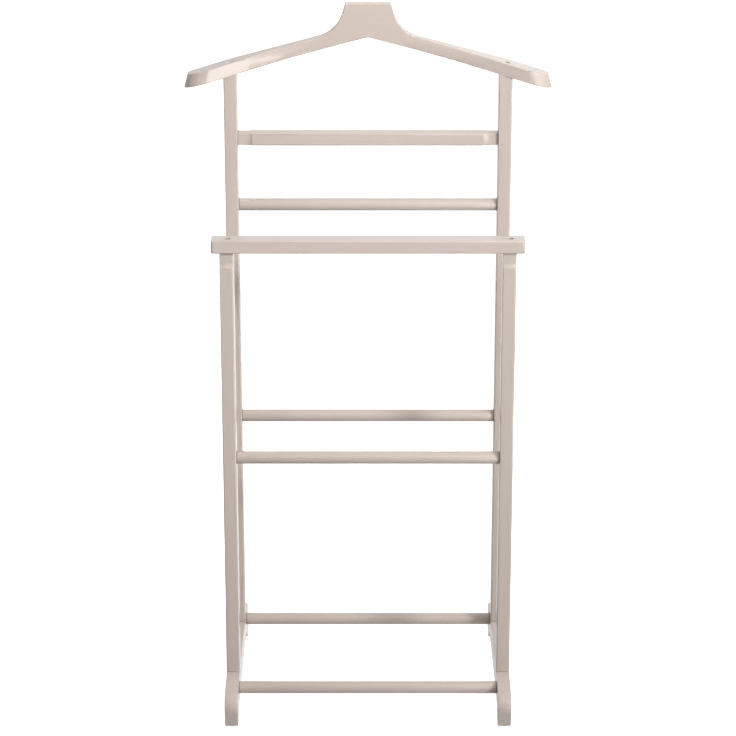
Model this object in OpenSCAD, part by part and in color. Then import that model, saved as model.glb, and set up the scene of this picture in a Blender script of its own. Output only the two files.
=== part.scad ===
// Clothes valet stand in lacquered wood. Two side frames (foot, front leg, rear post) are joined
// by five round rails and a flat cross bar. A shelf bar lies on the front legs, and a hanger yoke
// lies on the rear posts. Every joint is screwed, so nothing on the stand moves.
// Millimetres, +Z up, the front faces -Y, the origin is on the floor at the middle of the stand.

/* [Side frames] */
// Width over the outer faces of the legs and feet
frame_w = 410; // [330:1:480]
// Thickness of the legs, posts and feet, side to side
stock_w = 19; // [17:0.5:24]
// Depth of the legs and posts, front to back
leg_d = 30; // [28:0.5:40]
// Depth over the outer faces of the front leg and the rear post
frame_d = 210; // [180:1:250]
// Length of a front leg
leg_len = 630; // [500:1:760]
// Length of a rear post on its centre line
post_len = 840; // [800:0.5:1000]
// Rounding of the long edges of the bars
edge_r = 2; // [0.5:0.25:3]

/* [Feet] */
// Length of a foot between its toes' corners, before they are rounded
foot_len = 367; // [350:1:420]
// Height of a foot at the legs
foot_h = 55; // [50:1:75]
// How far the top of a toe drops in front of the leg
toe_drop = 8.5; // [4:0.5:14]
// How far the toe leans back down to the floor
toe_lean = 13.5; // [4:0.5:18]
// Rounding of the top of a toe
toe_r = 22; // [6:0.5:24]
// Rounding of the bottom of a toe
toe_base_r = 2; // [1:0.25:4]
// Length of a foot's pad on the floor
pad_len = 26.5; // [20:0.5:45]
// Height of the arch between the pads
arch_h = 21; // [10:0.5:24]
// Length over which each end of the arch rises
arch_run = 43; // [30:1:60]
// Diameter of a glide under a pad
glide_d = 16; // [10:0.5:16]
// Height of a glide
glide_h = 2.5; // [1.5:0.25:5]

/* [Rails] */
// Diameter of the round rails
rail_d = 18; // [14:0.5:22]
// Height of the bottom rails' centres
low_rail_z = 41.5; // [32:0.5:44]
// How far the bottom rails stand outside the legs' centres
low_rail_out = 33; // [30:0.5:40]
// Height of the middle rails' centres
middle_rail_z = 383.5; // [200:0.5:560]
// Height of the upper rail's centre
upper_rail_z = 706.5; // [600:0.5:760]

/* [Cross bar] */
// Height of the flat cross bar's centre
cross_bar_z = 805; // [790:0.5:830]
// Thickness of the cross bar, top to bottom
cross_bar_t = 18; // [16:0.5:24]
// Depth of the cross bar, front to back
cross_bar_d = 24; // [24:0.5:28]

/* [Waisted ends] */
// How deep each face is cut back at a waisted end
waist_cut = 3; // [1:0.25:3.5]
// Length of the flat part of a waisted end
waist_len = 13; // [8:0.5:20]
// Radius of the cove that ends the waist
waist_r = 12; // [8:0.5:20]

/* [Shelf bar] */
// How far the shelf bar stands out past the legs at each end
shelf_over = 11.5; // [0:0.5:45]
// Depth of the shelf bar
shelf_d = 32; // [28:0.5:44]
// Thickness of the shelf bar
shelf_t = 18; // [15:0.5:24]
// Rounding of the shelf bar's corners, seen from above
shelf_corner_r = 4; // [2.5:0.5:8]

/* [Hanger yoke] */
// Length of the yoke from tip to tip
hanger_len = 523; // [500:1:600]
// Slope of the arms in degrees
arm_slope = 14.8; // [8:0.1:18]
// Height of an arm, square to its slope
arm_h = 17.6; // [15:0.1:22]
// Width of the flat top of the neck
neck_w = 64; // [40:1:80]
// Height of the neck's top above the underside's ridge
neck_rise = 47.5; // [40:0.5:60]
// Steepness of the neck's sides in degrees
neck_angle = 73; // [65:1:85]
// Radius of the shoulder coves
cove_r = 48; // [15:1:52]
// Radius of the underside's ridge
ridge_r = 18; // [5:1:60]
// Depth of the neck, front to back
neck_d = 18; // [17:0.5:24]
// How far the arms swing forward, in degrees
arm_sweep = 15; // [10:0.5:17]
// Width of the front face's flat middle
flat_w = 104; // [60:1:120]
// Radius on which each half of the front face bends forward
bend_r = 450; // [300:10:480]
// Radius on which each half of the rear face bends forward
rear_bend_r = 140; // [60:5:200]
// How far inside the tips the rear face bends
rear_bend_in = 61; // [55:1:70]
// How far the front face stands out in front of the posts' middles
yoke_proud = 1; // [0.5:0.5:3]
// How far the arm ends lean back inward from the upright, in degrees
tip_slant = 15; // [0:1:25]
// Rounding of an arm end's front corner, seen along the slant
tip_front_r = 24; // [12:0.5:25]
// Rounding of an arm end's rear corner, seen along the slant
tip_rear_r = 8; // [3:0.5:8]

/* [Fasteners] */
// Diameter of a screw's shank
screw_d = 5; // [4:0.25:6]
// Diameter of a screw's head
head_d = 10.5; // [8:0.25:11]
// Height of a screw's head
head_h = 3.5; // [2.5:0.25:4]
// Width of the hexagon socket across its corners
socket_d = 4.6; // [3:0.1:5]
// Depth of the hexagon socket
socket_depth = 2.4; // [1.5:0.1:2.4]
// How deep a screw's head lies below the surface
head_sink = 3; // [1.5:0.25:4]
// Length of the screws through the rails' ends
rail_screw_len = 50; // [40:1:70]
// Length of the screws into the ends of the legs and posts
end_screw_len = 60; // [45:1:80]
// Wood left between a foot screw's head and the leg
foot_grip = 22; // [16:0.5:26]
// Diameter of a dowel
dowel_d = 6; // [5:0.25:6]
// Length of the dowels between the feet and the legs
foot_dowel_len = 30; // [20:1:40]
// Length of the dowels at the cross bar's ends
bar_dowel_len = 20; // [14:1:22]
// Distance between a screw and the dowel beside it at a foot
foot_pair = 15; // [12:0.5:16]
// Distance between a screw and the dowel beside it at the cross bar
bar_pair = 9; // [8:0.25:9]
// Diameter of a glide's nail
nail_d = 2; // [1.5:0.25:3]
// Length of a glide's nail
nail_len = 12; // [8:1:16]
// Clearance round every shank, dowel and nail
fit = 0.1; // [0.05:0.01:0.2]
// Clearance round every screw head
head_fit = 0.5; // [0.3:0.1:1]

/* [Hidden] */
$fn = 64;
over = 1;
tip_past = 0.02;
wood = [0.78, 0.73, 0.69];
beech = [0.85, 0.70, 0.50];
steel = [0.30, 0.29, 0.28];
plastic = [0.20, 0.18, 0.17];

leg_x = frame_w / 2 - stock_w / 2;
leg_y = frame_d / 2 - leg_d / 2;
inner_w = frame_w - 2 * stock_w;
shelf_len = frame_w + 2 * shelf_over;
foot_top = glide_h + foot_h;
shelf_z = foot_top + leg_len;
low_rail_y = leg_y + low_rail_out;
seat_depth = head_sink + head_h;
screw_hole_d = screw_d + 2 * fit;
head_hole_d = head_d + 2 * head_fit;
dowel_hole_d = dowel_d + 2 * fit;
foot_seat_z = foot_top - foot_grip;
glide_y = foot_len / 2 - toe_lean - pad_len / 2;

// Centres of the round rails: [y, z]
rails = [
    [leg_y, upper_rail_z],
    [leg_y, middle_rail_z],
    [-leg_y, middle_rail_z],
    [low_rail_y, low_rail_z],
    [-low_rail_y, low_rail_z]
];

// The yoke's lines seen from the front: the underside and the top of the arms, and the corner
// where neck meets arm
ridge_z = foot_top + post_len + tan(arm_slope) * leg_x;
arm_top_z = ridge_z + arm_h / cos(arm_slope);
neck_top_z = ridge_z + neck_rise;
cove_x = (neck_w / 2 + (neck_top_z - arm_top_z) / tan(neck_angle))
    / (1 - tan(arm_slope) / tan(neck_angle));
function underside_z(x) = ridge_z - tan(arm_slope) * x;
function arm_z(x) = arm_top_z - tan(arm_slope) * x;
tip_x = hanger_len / 2;
tip_top_x = (tip_x - (arm_top_z - underside_z(tip_x)) * tan(tip_slant))
    / (1 - tan(arm_slope) * tan(tip_slant));

// The yoke's lines seen from above: its front and rear faces, each with the corner of its bend
bend_x = flat_w / 2 + bend_r * tan(arm_sweep / 2);
neck_front_y = leg_y - leg_d / 2 - yoke_proud + (leg_x - bend_x) * tan(arm_sweep);
rear_bend_x = tip_x - rear_bend_in;
neck_rear_y = neck_front_y + neck_d;
function front_y(x) = neck_front_y - tan(arm_sweep) * (x - bend_x);
function rear_y(x) = neck_rear_y - tan(arm_sweep) * (x - rear_bend_x);

// ---------- Outlines with true arcs ----------

function toward(a, b) = (b - a) / norm(b - a);
function half_angle(a, b, c) = acos(toward(b, a) * toward(b, c)) / 2;
function turns_left(a, b, c) = cross(b - a, c - b) > 0;
// Where the arc of radius r that rounds corner b starts, on the side of a, and where it is centred
function arc_start(a, b, c, r) = b + toward(b, a) * r / tan(half_angle(a, b, c));
function arc_centre(a, b, c, r) = b + toward([0, 0], toward(b, a) + toward(b, c))
    * r / sin(half_angle(a, b, c));

// The part of that arc's circle that lies beyond the arc's chord, with a strip of what lies before
module arc_segment(a, b, c, r) {
    start = arc_start(a, b, c, r);
    chord = arc_start(c, b, a, r) - start;
    depth = r + over;
    intersection() {
        translate(arc_centre(a, b, c, r))
            circle(r);
        translate(start)
            rotate(atan2(chord[1], chord[0]))
                translate([0, turns_left(a, b, c) ? -r : r - depth])
                    square([norm(chord), depth]);
    }
}

// A closed outline, counter-clockwise, with each corner [x, y, r] rounded to its own radius
module rounded_outline(corners) {
    n = len(corners);
    at = [for (c = corners) [c[0], c[1]]];
    r = [for (c = corners) c[2]];
    before = [for (i = [0 : n - 1]) at[(i + n - 1) % n]];
    after = [for (i = [0 : n - 1]) at[(i + 1) % n]];
    left = [for (i = [0 : n - 1]) turns_left(before[i], at[i], after[i])];
    difference() {
        union() {
            polygon([for (i = [0 : n - 1]) each r[i] > 0 ? [
                arc_start(before[i], at[i], after[i], r[i]),
                arc_start(after[i], at[i], before[i], r[i])
            ] : [at[i]]]);
            for (i = [0 : n - 1])
                if (r[i] > 0 && left[i])
                    arc_segment(before[i], at[i], after[i], r[i]);
        }
        for (i = [0 : n - 1])
            if (r[i] > 0 && !left[i])
                arc_segment(before[i], at[i], after[i], r[i]);
    }
}

module rounded_rect(w, h, r) {
    rounded_outline([
        [-w / 2, -h / 2, r], [w / 2, -h / 2, r], [w / 2, h / 2, r], [-w / 2, h / 2, r]
    ]);
}

// What a corner of the given angle, at the origin and pointing along +x, loses when it is rounded.
// The arc reaches `past` beyond the sides, so that it crosses them where it would only touch.
module corner_waste(r, angle = 90, past = 0) {
    out = r + over;
    reach = out / sin(angle / 2);
    side = [out * sin(angle / 2), out * cos(angle / 2)];
    translate([-r / sin(angle / 2), 0])
        difference() {
            polygon([[0, 0], [side[0], -side[1]], [reach, 0], side]);
            circle(r + past);
        }
}

// Runs a section, drawn with x to the back and y up, along X
module along_x(length) {
    rotate([90, 0, 90])
        linear_extrude(length, center = true)
            children();
}

// Draws the children on the right and, mirrored, on the left
module both_sides() {
    children();
    mirror([1, 0, 0])
        children();
}

// Draws the children at the rear and, mirrored, at the front
module both_ends() {
    children();
    mirror([0, 1, 0])
        children();
}

// ---------- Fasteners and their holes ----------

// A socket-head wood screw pointing down, with its head's seat at the origin
module screw(length) {
    tip = 2 * screw_d;
    color(steel)
    difference() {
        union() {
            cylinder(h = head_h, d = head_d);
            translate([0, 0, tip - length])
                cylinder(h = length - tip, d = screw_d);
            translate([0, 0, -length])
                cylinder(h = tip, d1 = screw_d / 5, d2 = screw_d);
        }
        translate([0, 0, head_h - socket_depth])
            cylinder(h = socket_depth + over, d = socket_d, $fn = 6);
    }
}

// The hole for that screw, with room for its head up to a surface `rise` above the seat
module screw_hole(length, rise) {
    translate([0, 0, -length - over])
        cylinder(h = length + 2 * over, d = screw_hole_d);
    cylinder(h = rise, d = head_hole_d);
}

// A dowel with chamfered ends, centred on the joint
module dowel(length) {
    chamfer = dowel_d / 8;
    r = dowel_d / 2;
    top = length / 2;
    color(beech)
    rotate_extrude()
        polygon([
            [0, -top], [r - chamfer, -top], [r, chamfer - top],
            [r, top - chamfer], [r - chamfer, top], [0, top]
        ]);
}

module dowel_hole(length) {
    cylinder(h = length + over, d = dowel_hole_d, center = true);
}

// Right-hand places of the fasteners. Each module moves its children to its own joint.
module at_shelf_screw() {
    translate([leg_x, -leg_y, shelf_z + shelf_t - seat_depth])
        children();
}

module at_hanger_screw() {
    translate([leg_x, leg_y, arm_z(leg_x) - seat_depth])
        children();
}

module at_foot_screws() {
    both_ends()
        translate([leg_x, leg_y - foot_pair / 2, foot_seat_z])
            rotate([180, 0, 0])
                children();
}

module at_foot_dowels() {
    both_ends()
        translate([leg_x, leg_y + foot_pair / 2, foot_top])
            children();
}

module at_rail_screws() {
    for (rail = rails)
        translate([frame_w / 2 - seat_depth, rail[0], rail[1]])
            rotate([0, 90, 0])
                children();
}

module at_cross_bar_screw() {
    translate([frame_w / 2 - seat_depth, leg_y - bar_pair / 2, cross_bar_z])
        rotate([0, 90, 0])
            children();
}

module at_cross_bar_dowel() {
    translate([inner_w / 2, leg_y + bar_pair / 2, cross_bar_z])
        rotate([0, 90, 0])
            children();
}

// ---------- Wood ----------

// What the waist cutter takes off a face that looks along -y, at a bar end that looks along +z
module waist_cutter(width) {
    rotate([90, 0, 90])
        linear_extrude(width + 2 * over, center = true)
            union() {
                translate([-over, -waist_len])
                    square([waist_cut + over, waist_len + over]);
                translate([waist_cut - waist_r, -waist_len])
                    circle(waist_r);
            }
}

// The cutter on both faces of a bar that is `depth` deep
module waist(width, depth) {
    both_ends()
        translate([0, -depth / 2, 0])
            waist_cutter(width);
}

module foot_outline() {
    toe_y = foot_len / 2;
    base_y = toe_y - toe_lean;
    shin_y = frame_d / 2;
    rounded_outline([
        [-base_y, 0, toe_base_r], [base_y, 0, toe_base_r],
        [toe_y, foot_h - toe_drop, toe_r], [shin_y, foot_h, 0],
        [-shin_y, foot_h, 0], [-toe_y, foot_h - toe_drop, toe_r]
    ]);
}

// The space under the foot: flat in the middle, falling to the pads along true arcs
module arch_outline() {
    arch_r = (arch_run * arch_run + arch_h * arch_h) / (2 * arch_h);
    flat_y = foot_len / 2 - toe_lean - pad_len - arch_run;
    translate([-flat_y, -over])
        square([2 * flat_y, arch_h + over]);
    intersection() {
        union() {
            for (side = [-1, 1])
                translate([side * flat_y, arch_h - arch_r])
                    circle(arch_r);
        }
        translate([-foot_len / 2, -over])
            square([foot_len, arch_h + over]);
    }
}

module foot() {
    color(wood)
    difference() {
        translate([leg_x, 0, glide_h])
            along_x(stock_w)
                difference() {
                    foot_outline();
                    arch_outline();
                }
        at_foot_screws()
            screw_hole(end_screw_len, foot_seat_z);
        at_foot_dowels()
            dowel_hole(foot_dowel_len);
        at_rail_screws()
            screw_hole(rail_screw_len, seat_depth + over);
        both_ends()
            translate([leg_x, glide_y, glide_h])
                cylinder(h = nail_len + over, d = nail_d + 2 * fit);
    }
}

module front_leg() {
    color(wood)
    difference() {
        translate([leg_x, -leg_y, foot_top])
            linear_extrude(leg_len)
                rounded_rect(stock_w, leg_d, edge_r);
        translate([leg_x, -leg_y, shelf_z])
            waist(stock_w, leg_d);
        at_shelf_screw()
            screw_hole(end_screw_len, seat_depth);
        at_foot_screws()
            screw_hole(end_screw_len, over);
        at_foot_dowels()
            dowel_hole(foot_dowel_len);
        at_rail_screws()
            screw_hole(rail_screw_len, seat_depth + over);
    }
}

module rear_post() {
    color(wood)
    difference() {
        translate([leg_x, leg_y, foot_top])
            linear_extrude(post_len + stock_w)
                rounded_rect(stock_w, leg_d, edge_r);
        translate([leg_x, leg_y, foot_top + post_len])
            rotate([0, arm_slope, 0])
                translate([-leg_d, -leg_d, 0])
                    cube([2 * leg_d, 2 * leg_d, 3 * stock_w]);
        at_hanger_screw()
            screw_hole(end_screw_len, seat_depth);
        at_foot_screws()
            screw_hole(end_screw_len, over);
        at_foot_dowels()
            dowel_hole(foot_dowel_len);
        at_rail_screws()
            screw_hole(rail_screw_len, seat_depth + over);
        at_cross_bar_screw()
            screw_hole(rail_screw_len, seat_depth + over);
        at_cross_bar_dowel()
            dowel_hole(bar_dowel_len);
    }
}

module shelf_bar() {
    color(wood)
    difference() {
        translate([0, -leg_y, shelf_z + shelf_t / 2])
            difference() {
                along_x(shelf_len)
                    rounded_rect(shelf_d, shelf_t, edge_r);
                both_sides()
                    both_ends()
                        translate([shelf_len / 2, shelf_d / 2, 0])
                            linear_extrude(shelf_t + 2 * over, center = true)
                                rotate(45)
                                    corner_waste(shelf_corner_r);
            }
        both_sides()
            at_shelf_screw()
                screw_hole(end_screw_len, seat_depth + over);
    }
}

// The yoke seen from the front: ridge, arms and neck
module yoke_outline() {
    rounded_outline([
        [-tip_x, underside_z(tip_x), 0], [0, ridge_z, ridge_r], [tip_x, underside_z(tip_x), 0],
        [tip_top_x, arm_z(tip_top_x), 0], [cove_x, arm_z(cove_x), cove_r],
        [neck_w / 2, neck_top_z, 0], [-neck_w / 2, neck_top_z, 0],
        [-cove_x, arm_z(cove_x), cove_r], [-tip_top_x, arm_z(tip_top_x), 0]
    ]);
}

// The yoke seen from above: a slim flat neck, and deeper arms that swing forward
module yoke_plan() {
    reach = tip_x + over;
    rounded_outline([
        [-reach, front_y(reach), 0], [-bend_x, neck_front_y, bend_r],
        [bend_x, neck_front_y, bend_r], [reach, front_y(reach), 0],
        [reach, rear_y(reach), 0], [rear_bend_x, neck_rear_y, rear_bend_r],
        [-rear_bend_x, neck_rear_y, rear_bend_r], [-reach, rear_y(reach), 0]
    ], $fn = 256);
}

// What rounds the upright corner at the origin, where the right arm's slanted end meets a face
// that looks along -y and swings forward by the angle `swing`
module tip_waste(r, swing) {
    turn = asin(sin(swing) * cos(tip_slant));
    rotate([0, -tip_slant, 0])
        rotate([-atan(tan(swing) * sin(tip_slant)), 0, 0])
            linear_extrude(4 * arm_h, center = true)
                rotate(-45 - turn / 2)
                    corner_waste(r, 90 - turn, tip_past);
}

module hanger_yoke() {
    color(wood)
    difference() {
        intersection() {
            rotate([90, 0, 0])
                linear_extrude(2 * frame_d, center = true)
                    yoke_outline();
            linear_extrude(neck_top_z + over)
                yoke_plan();
        }
        both_sides() {
            translate([tip_x, front_y(tip_x), underside_z(tip_x)])
                tip_waste(tip_front_r, arm_sweep);
            translate([tip_x, rear_y(tip_x), underside_z(tip_x)])
                mirror([0, 1, 0])
                    tip_waste(tip_rear_r, -arm_sweep);
            at_hanger_screw()
                screw_hole(end_screw_len, 2 * seat_depth);
        }
    }
}

module cross_bar() {
    color(wood)
    difference() {
        translate([0, leg_y, cross_bar_z])
            along_x(inner_w)
                rounded_rect(cross_bar_d, cross_bar_t, edge_r);
        both_sides() {
            translate([inner_w / 2, leg_y, cross_bar_z])
                rotate([0, 90, 0])
                    waist(cross_bar_t, cross_bar_d);
            at_cross_bar_screw()
                screw_hole(rail_screw_len, over);
            at_cross_bar_dowel()
                dowel_hole(bar_dowel_len);
        }
    }
}

module rail(place) {
    color(wood)
    difference() {
        translate([0, place[0], place[1]])
            rotate([0, 90, 0])
                cylinder(h = inner_w, d = rail_d, center = true);
        both_sides()
            at_rail_screws()
                screw_hole(rail_screw_len, over);
    }
}

// ---------- Glides ----------

module glide() {
    chamfer = glide_h / 5;
    color(plastic) {
        cylinder(h = chamfer, d1 = glide_d - 2 * chamfer, d2 = glide_d);
        translate([0, 0, chamfer])
            cylinder(h = glide_h - chamfer, d = glide_d);
        translate([0, 0, glide_h])
            cylinder(h = nail_len, d = nail_d);
    }
}

// ---------- The stand ----------

mirror([1, 0, 0]) foot();  // left_foot
foot();  // right_foot
mirror([1, 0, 0]) front_leg();  // left_front_leg
front_leg();  // right_front_leg
mirror([1, 0, 0]) rear_post();  // left_rear_post
rear_post();  // right_rear_post
shelf_bar();
hanger_yoke();
cross_bar();
rail(rails[0]);  // upper_rail
rail(rails[1]);  // rear_middle_rail
rail(rails[2]);  // front_middle_rail
rail(rails[3]);  // rear_bottom_rail
rail(rails[4]);  // front_bottom_rail
both_sides() at_shelf_screw() screw(end_screw_len);  // shelf_screws
both_sides() at_hanger_screw() screw(end_screw_len);  // hanger_screws
both_sides() at_foot_screws() screw(end_screw_len);  // foot_screws
both_sides() at_rail_screws() screw(rail_screw_len);  // rail_screws
both_sides() at_cross_bar_screw() screw(rail_screw_len);  // cross_bar_screws
both_sides() at_foot_dowels() dowel(foot_dowel_len);  // foot_dowels
both_sides() at_cross_bar_dowel() dowel(bar_dowel_len);  // cross_bar_dowels
both_sides() both_ends() translate([leg_x, glide_y, 0]) glide();  // glides
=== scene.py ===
"""Dresses the clothes valet stand: lacquered wood, steel screws, beech dowels and floor glides.

Lengths are in metres, angles in degrees and colours in linear light, unless a comment says
otherwise.
"""

import math

import bpy
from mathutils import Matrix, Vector

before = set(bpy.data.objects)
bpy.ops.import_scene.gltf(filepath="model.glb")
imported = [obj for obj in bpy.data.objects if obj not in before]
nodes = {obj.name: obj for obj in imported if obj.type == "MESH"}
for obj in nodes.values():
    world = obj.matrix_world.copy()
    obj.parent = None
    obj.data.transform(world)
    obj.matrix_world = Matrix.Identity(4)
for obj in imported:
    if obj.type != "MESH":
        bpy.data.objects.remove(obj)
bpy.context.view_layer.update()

# Camera, with its lens and sensor in millimetres
CAMERA_DISTANCE = 3.6
CAMERA_HEIGHT = 1.68
CAMERA_PITCH = 18.33
CAMERA_LENS = 129.0
SENSOR_WIDTH = 36

# Stage
STAGE_WHITE = (0.9, 0.9, 0.9, 1)
GLOW_WHITE = (1, 1, 1, 1)
FLOOR_SIZE = 90
FLOOR_GLOW = 0.7
DOME_RADIUS = 50
DOME_GLOW = 1

# Brightness of the studio below, level with and above the stand
STUDIO_FLOOR = 1.0
STUDIO_LEVEL = 0.38
STUDIO_OVERHEAD = 0.78

# What that is multiplied by in front, on the left and on the right
STUDIO_FRONT = 0.8
STUDIO_LEFT = 0.4
STUDIO_RIGHT = 1.3

# Brightness of the backdrop behind the stand, and what its foot is multiplied by
BACKDROP_LEFT = 0.8
BACKDROP_RIGHT = 1.3
BACKDROP_FOOT = 1.35

# Where one part of the studio passes into the next. Each is a range of one component of the
# direction that a ray takes, which runs from -1 to 1.
X_STUDIO_LEFT_TO_RIGHT = (-0.8, 0.8)
X_BACKDROP_LEFT_TO_RIGHT = (-0.12, 0.12)
Y_FRONT_TO_SIDE = (-0.8, 0)
Y_SIDE_TO_BACKDROP = (0.3, 0.85)
Z_FLOOR_TO_LEVEL = (-0.5, -0.15)
Z_LEVEL_TO_OVERHEAD = (-0.1, 0.9)
Z_FLOOR_TO_BACKDROP = (-0.5, -0.36)
Z_FOOT_TO_BACKDROP = (-0.2, 0.1)
Z_BACKDROP_TO_OVERHEAD = (0.35, 0.6)

# Lights: name, place, the point that it faces, its width and height, and its power in watts
KEY_SPREAD = 60
KEY_LIGHT = ("key", (2.7, -3.35, 2.9), (0, 0, 0.95), (0.85, 0.85), 18.5)
FILL_LIGHTS = [
    ("fill", (0, -1.4, 1.9), (0, 0, 1), (1.8, 1.0), 17),
    ("top", (0.1, 0, 2.3), (0.1, 0, 0), (1.4, 1.0), 9),
    ("back_fill", (-2.6, 2.8, 1.3), (0, 0, 0.6), (1.8, 1.4), 50),
]
CARDS = [
    ("front_card", (2.4, -3.3, 0.2), (0, 0, 0.9), (2.6, 1.1), 70),
    ("side_card", (2.4, -0.9, 0.5), (0, 0, 0.9), (1.4, 1.4), 8),
]

# Edges
WOOD_EASE = 0.0009
STEEL_EASE = 0.00025
SMALL_EASE = 0.0002
EASE_SEGMENTS = 3
EASED_ANGLE = 50
WELD_DISTANCE = 0.00001

# Lacquer
TAUPE_DARK = (0.485, 0.410, 0.368)
TAUPE_LIGHT = (0.515, 0.440, 0.398)
TAUPE_BAND = (0.465, 0.400, 0.362)
# Painted shade: the near-black put into screw holes and the creases at joints, and how far round a
# point the enclosing surfaces are looked for
PAINTED_SHADE_DARK = (0.05, 0.04, 0.035)
PAINTED_SHADE_REACH = 0.02

# Screws, dowels and glides
ZINC_DARK = (0.05, 0.047, 0.045)
ZINC_LIGHT = (0.09, 0.085, 0.08)
BEECH_DARK = (0.62, 0.43, 0.27)
BEECH_LIGHT = (0.72, 0.53, 0.35)
BEECH_FLECK = (0.42, 0.27, 0.16)
NYLON_DARK = (0.035, 0.031, 0.028)
NYLON_LIGHT = (0.055, 0.05, 0.045)

# The wooden pieces by the axis that their grain runs along, and the small pieces
GRAIN = {
    "x": [
        "shelf_bar", "hanger_yoke", "cross_bar", "upper_rail", "rear_middle_rail",
        "front_middle_rail", "rear_bottom_rail", "front_bottom_rail",
    ],
    "y": ["left_foot", "right_foot"],
    "z": ["left_front_leg", "right_front_leg", "left_rear_post", "right_rear_post"],
}
SCREWS = ["shelf_screws", "hanger_screws", "foot_screws", "rail_screws", "cross_bar_screws"]
DOWELS = ["foot_dowels", "cross_bar_dowels"]
GLIDES = "glides"

# Numbers of the Mix node's sockets
MIX_FACTOR = 0
MIX_VALUES = (2, 3)
MIX_COLOURS = (6, 7)
MIX_VALUE_OUT = 0
MIX_COLOUR_OUT = 2


# ---------- Node trees ----------


def new_material(name):
    """A material with an empty tree, and its Principled shader already wired to the output."""
    material = bpy.data.materials.new(name)
    material.use_nodes = True
    tree = material.node_tree
    tree.nodes.clear()
    out = tree.nodes.new("ShaderNodeOutputMaterial")
    shader = tree.nodes.new("ShaderNodeBsdfPrincipled")
    tree.links.new(shader.outputs["BSDF"], out.inputs["Surface"])
    return material, tree, shader


def add(tree, kind, inputs=(), **settings):
    """Adds a node, sets its properties and its sockets, and returns it.

    The value for a socket is a number, a vector, a colour or another node's output.
    """
    node = tree.nodes.new(kind)
    for name, value in settings.items():
        setattr(node, name, value)
    for name, value in dict(inputs).items():
        if isinstance(value, bpy.types.NodeSocket):
            tree.links.new(value, node.inputs[name])
        else:
            node.inputs[name].default_value = value
    return node


def stretched_coordinates(tree, along, stretch):
    """Object coordinates, squeezed along one axis so that a texture runs long that way."""
    place = add(tree, "ShaderNodeTexCoord")
    scale = [1.0 / stretch if axis == along else 1.0 for axis in "xyz"]
    mapping = add(tree, "ShaderNodeMapping", {"Vector": place.outputs["Object"], "Scale": scale})
    return mapping.outputs["Vector"]


def even_coordinates(tree):
    """Object coordinates, the same along each axis."""
    return stretched_coordinates(tree, "z", 1)


def noise(tree, vector, scale, detail, roughness=0.5):
    """Soft noise from 0 to 1, with about this many spots in a metre."""
    return add(tree, "ShaderNodeTexNoise", {
        "Vector": vector, "Scale": scale, "Detail": detail, "Roughness": roughness,
    }).outputs["Fac"]


def remap(tree, value, span, result):
    """Maps the range span to the range result, clamped."""
    return add(tree, "ShaderNodeMapRange", {
        "Value": value,
        "From Min": span[0],
        "From Max": span[1],
        "To Min": result[0],
        "To Max": result[1],
    }).outputs["Result"]


def multiply(tree, first, second):
    """The product of two values."""
    return add(tree, "ShaderNodeMath", {0: first, 1: second}, operation="MULTIPLY").outputs[0]


def blend(tree, factor, first, second):
    """A value between first and second."""
    sockets = {MIX_FACTOR: factor, MIX_VALUES[0]: first, MIX_VALUES[1]: second}
    return add(tree, "ShaderNodeMix", sockets, data_type="FLOAT").outputs[MIX_VALUE_OUT]


def tint(tree, factor, first, second):
    """A colour between first and second. Each is three numbers or an output."""
    sockets = {MIX_FACTOR: factor}
    for socket, colour in zip(MIX_COLOURS, (first, second)):
        is_output = isinstance(colour, bpy.types.NodeSocket)
        sockets[socket] = colour if is_output else (*colour, 1)
    return add(tree, "ShaderNodeMix", sockets, data_type="RGBA").outputs[MIX_COLOUR_OUT]


def bump(tree, height, strength, distance, normal=None):
    """A bump from a height, on top of an earlier normal if there is one."""
    sockets = {"Height": height, "Strength": strength, "Distance": distance}
    if normal is not None:
        sockets["Normal"] = normal
    return add(tree, "ShaderNodeBump", sockets).outputs["Normal"]


# ---------- Materials ----------


def lacquered_wood(along):
    """Taupe lacquer over fine-grained wood whose fibres run along one axis, with shade painted
    into recesses and the creases where pieces meet.
    """
    material, tree, shader = new_material("lacquer_along_" + along)
    grain = stretched_coordinates(tree, along, 30)
    fibres = noise(tree, grain, scale=900, detail=4, roughness=0.6)
    bands = noise(tree, grain, scale=160, detail=2)
    clouds = noise(tree, stretched_coordinates(tree, along, 4), scale=14, detail=2)
    orange_peel = noise(tree, even_coordinates(tree), scale=420, detail=1)

    base = tint(tree, remap(tree, clouds, (0.3, 0.7), (0, 1)), TAUPE_DARK, TAUPE_LIGHT)
    base = tint(tree, remap(tree, bands, (0.35, 0.65), (0, 0.35)), base, TAUPE_BAND)
    # Painted shade: surfaces shut in by nearby geometry, as in screw holes and the creases at
    # joints, are darkened towards a near-black
    shade_occlusion = add(tree, "ShaderNodeAmbientOcclusion", {"Distance": PAINTED_SHADE_REACH}, samples=8)
    painted_shade = remap(tree, shade_occlusion.outputs["AO"], (0.08, 0.4), (1, 0))
    base = tint(tree, painted_shade, base, PAINTED_SHADE_DARK)
    tree.links.new(base, shader.inputs["Base Color"])

    roughness = remap(tree, clouds, (0.2, 0.8), (0.42, 0.50))
    tree.links.new(roughness, shader.inputs["Roughness"])
    shader.inputs["Coat Weight"].default_value = 0.8
    shader.inputs["Coat Roughness"].default_value = 0.16
    shader.inputs["Specular IOR Level"].default_value = 0.35
    pores = bump(tree, fibres, strength=0.12, distance=0.0002)
    skin = bump(tree, orange_peel, strength=0.05, distance=0.0003, normal=pores)
    tree.links.new(skin, shader.inputs["Normal"])
    return material


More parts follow.
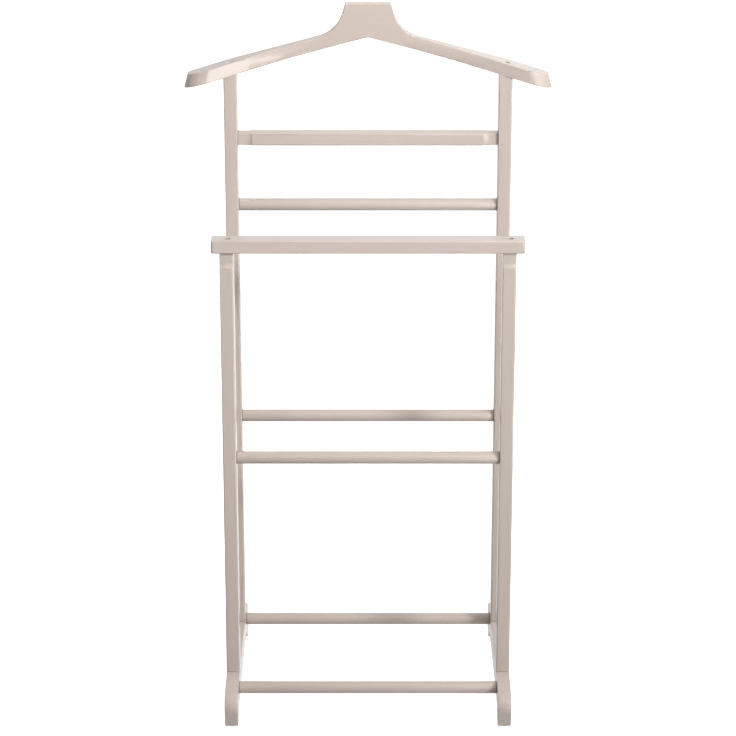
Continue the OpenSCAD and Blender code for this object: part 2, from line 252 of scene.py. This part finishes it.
def dark_steel():
    """Dark zinc with fine scratches and stains."""
    material, tree, shader = new_material("dark_steel_finish")
    place = even_coordinates(tree)
    scratches = noise(tree, place, scale=2500, detail=2)
    stain = noise(tree, place, scale=300, detail=3)
    base = tint(tree, remap(tree, stain, (0.3, 0.7), (0, 1)), ZINC_DARK, ZINC_LIGHT)
    tree.links.new(base, shader.inputs["Base Color"])
    roughness = remap(tree, scratches, (0.3, 0.7), (0.28, 0.45))
    tree.links.new(roughness, shader.inputs["Roughness"])
    shader.inputs["Metallic"].default_value = 0.9
    skin = bump(tree, scratches, strength=0.15, distance=0.00005)
    tree.links.new(skin, shader.inputs["Normal"])
    return material


def bare_beech():
    """Pale beech with the short dark flecks of its rays."""
    material, tree, shader = new_material("bare_beech_finish")
    rings = noise(tree, stretched_coordinates(tree, "z", 20), scale=400, detail=4)
    flecks = noise(tree, stretched_coordinates(tree, "z", 6), scale=1400, detail=1)
    base = tint(tree, remap(tree, rings, (0.3, 0.7), (0, 1)), BEECH_DARK, BEECH_LIGHT)
    base = tint(tree, remap(tree, flecks, (0.62, 0.72), (0, 0.6)), base, BEECH_FLECK)
    tree.links.new(base, shader.inputs["Base Color"])
    shader.inputs["Roughness"].default_value = 0.62
    skin = bump(tree, rings, strength=0.3, distance=0.0001)
    tree.links.new(skin, shader.inputs["Normal"])
    return material


def glide_plastic():
    """Dark moulded nylon with a fine matt texture."""
    material, tree, shader = new_material("glide_plastic_finish")
    place = even_coordinates(tree)
    texture = noise(tree, place, scale=3000, detail=2)
    cloud = noise(tree, place, scale=120, detail=2)
    base = tint(tree, remap(tree, cloud, (0.3, 0.7), (0, 1)), NYLON_DARK, NYLON_LIGHT)
    tree.links.new(base, shader.inputs["Base Color"])
    roughness = remap(tree, texture, (0.3, 0.7), (0.45, 0.6))
    tree.links.new(roughness, shader.inputs["Roughness"])
    skin = bump(tree, texture, strength=0.2, distance=0.00005)
    tree.links.new(skin, shader.inputs["Normal"])
    return material


# ---------- Pieces ----------


def dress(node, material, ease):
    """Gives a CAD node its material and softly eased edges."""
    piece = nodes[node]
    piece.data.materials.clear()
    piece.data.materials.append(material)
    weld = piece.modifiers.new("weld", "WELD")
    weld.merge_threshold = WELD_DISTANCE
    bevel = piece.modifiers.new("eased_edges", "BEVEL")
    bevel.width = ease
    bevel.segments = EASE_SEGMENTS
    bevel.limit_method = "ANGLE"
    bevel.angle_limit = math.radians(EASED_ANGLE)
    bevel.use_clamp_overlap = False
    bevel.loop_slide = False
    bevel.harden_normals = True


def dress_stand():
    """Dresses the wooden pieces, the screws, the dowels and the glides."""
    for axis, names in GRAIN.items():
        wood = lacquered_wood(axis)
        for name in names:
            dress(name, wood, WOOD_EASE)
    steel = dark_steel()
    for name in SCREWS:
        dress(name, steel, STEEL_EASE)
    beech = bare_beech()
    for name in DOWELS:
        dress(name, beech, SMALL_EASE)
    dress(GLIDES, glide_plastic(), SMALL_EASE)


# ---------- Stage, light and camera ----------


def stage_piece(piece, name, glow):
    """Makes a piece of the stage matt white, with some light of its own.

    It doesn't light the stand or show in its lacquer.
    """
    piece.name = name
    material, tree, shader = new_material(name + "_white")
    shader.inputs["Base Color"].default_value = STAGE_WHITE
    shader.inputs["Roughness"].default_value = 0.9
    shader.inputs["Specular IOR Level"].default_value = 0.1
    shader.inputs["Emission Color"].default_value = GLOW_WHITE
    shader.inputs["Emission Strength"].default_value = glow
    piece.data.materials.append(material)
    piece.visible_diffuse = False
    piece.visible_glossy = False


def stage():
    """A large pale floor, and a white dome round it that lets the studio's light in."""
    bpy.ops.mesh.primitive_plane_add(size=FLOOR_SIZE, location=(0, 0, 0))
    stage_piece(bpy.context.object, "stage_floor", FLOOR_GLOW)
    bpy.ops.mesh.primitive_uv_sphere_add(radius=DOME_RADIUS, location=(0, 0, 0))
    dome = bpy.context.object
    stage_piece(dome, "stage_dome", DOME_GLOW)
    dome.visible_shadow = False


def studio_world():
    """A pale studio: a bright floor, darker walls, lighter overhead, and dimmest on the left.

    Behind the stand is a brighter backdrop, most of all on its right and at its foot.
    """
    world = bpy.data.worlds.new("studio")
    bpy.context.scene.world = world
    world.use_nodes = True
    tree = world.node_tree
    tree.nodes.clear()
    out = tree.nodes.new("ShaderNodeOutputWorld")
    background = tree.nodes.new("ShaderNodeBackground")
    tree.links.new(background.outputs["Background"], out.inputs["Surface"])
    direction = add(tree, "ShaderNodeTexCoord").outputs["Generated"]
    ray = add(tree, "ShaderNodeSeparateXYZ", {"Vector": direction}).outputs

    height = remap(tree, ray["Z"], Z_LEVEL_TO_OVERHEAD, (STUDIO_LEVEL, STUDIO_OVERHEAD))
    front = remap(tree, ray["Y"], Y_FRONT_TO_SIDE, (STUDIO_FRONT, 1))
    above_floor = multiply(tree, height, front)
    on_floor = remap(tree, ray["Z"], Z_FLOOR_TO_LEVEL, (1, 0))
    left_to_right = remap(tree, ray["X"], X_STUDIO_LEFT_TO_RIGHT, (STUDIO_LEFT, STUDIO_RIGHT))
    studio = multiply(tree, blend(tree, on_floor, above_floor, STUDIO_FLOOR), left_to_right)

    sides = remap(tree, ray["X"], X_BACKDROP_LEFT_TO_RIGHT, (BACKDROP_LEFT, BACKDROP_RIGHT))
    foot = remap(tree, ray["Z"], Z_FOOT_TO_BACKDROP, (BACKDROP_FOOT, 1))
    backdrop = multiply(tree, sides, foot)

    over_its_foot = remap(tree, ray["Z"], Z_FLOOR_TO_BACKDROP, (0, 1))
    under_its_top = remap(tree, ray["Z"], Z_BACKDROP_TO_OVERHEAD, (1, 0))
    behind = remap(tree, ray["Y"], Y_SIDE_TO_BACKDROP, (0, 1))
    on_backdrop = multiply(tree, behind, multiply(tree, over_its_foot, under_its_top))
    brightness = blend(tree, on_backdrop, studio, backdrop)
    tree.links.new(brightness, background.inputs["Strength"])


def area_light(name, place, aim, size, power):
    """A rectangular light at place that faces aim. The camera doesn't see it."""
    data = bpy.data.lights.new(name, "AREA")
    data.shape = "RECTANGLE"
    data.size, data.size_y = size
    data.energy = power
    light = bpy.data.objects.new(name, data)
    light.location = place
    light.rotation_euler = (Vector(aim) - Vector(place)).to_track_quat("-Z", "Y").to_euler()
    light.visible_camera = False
    bpy.context.scene.collection.objects.link(light)
    return light


def lights():
    """A key light, fill lights that don't show in the gloss, and cards that show only there."""
    key = area_light(*KEY_LIGHT)
    key.data.spread = math.radians(KEY_SPREAD)
    for light in FILL_LIGHTS:
        area_light(*light).visible_glossy = False
    for card in CARDS:
        area_light(*card).visible_diffuse = False


def camera():
    """Looks at the stand from the front and slightly above, level from side to side."""
    data = bpy.data.cameras.new("camera")
    data.lens = CAMERA_LENS
    data.sensor_width = SENSOR_WIDTH
    view = bpy.data.objects.new("camera", data)
    view.location = (0, -CAMERA_DISTANCE, CAMERA_HEIGHT)
    view.rotation_euler = (math.radians(90 - CAMERA_PITCH), 0, 0)
    bpy.context.scene.collection.objects.link(view)
    bpy.context.scene.camera = view


dress_stand()
stage()
studio_world()
lights()
camera()
bpy.context.scene.view_settings.view_transform = "Standard"
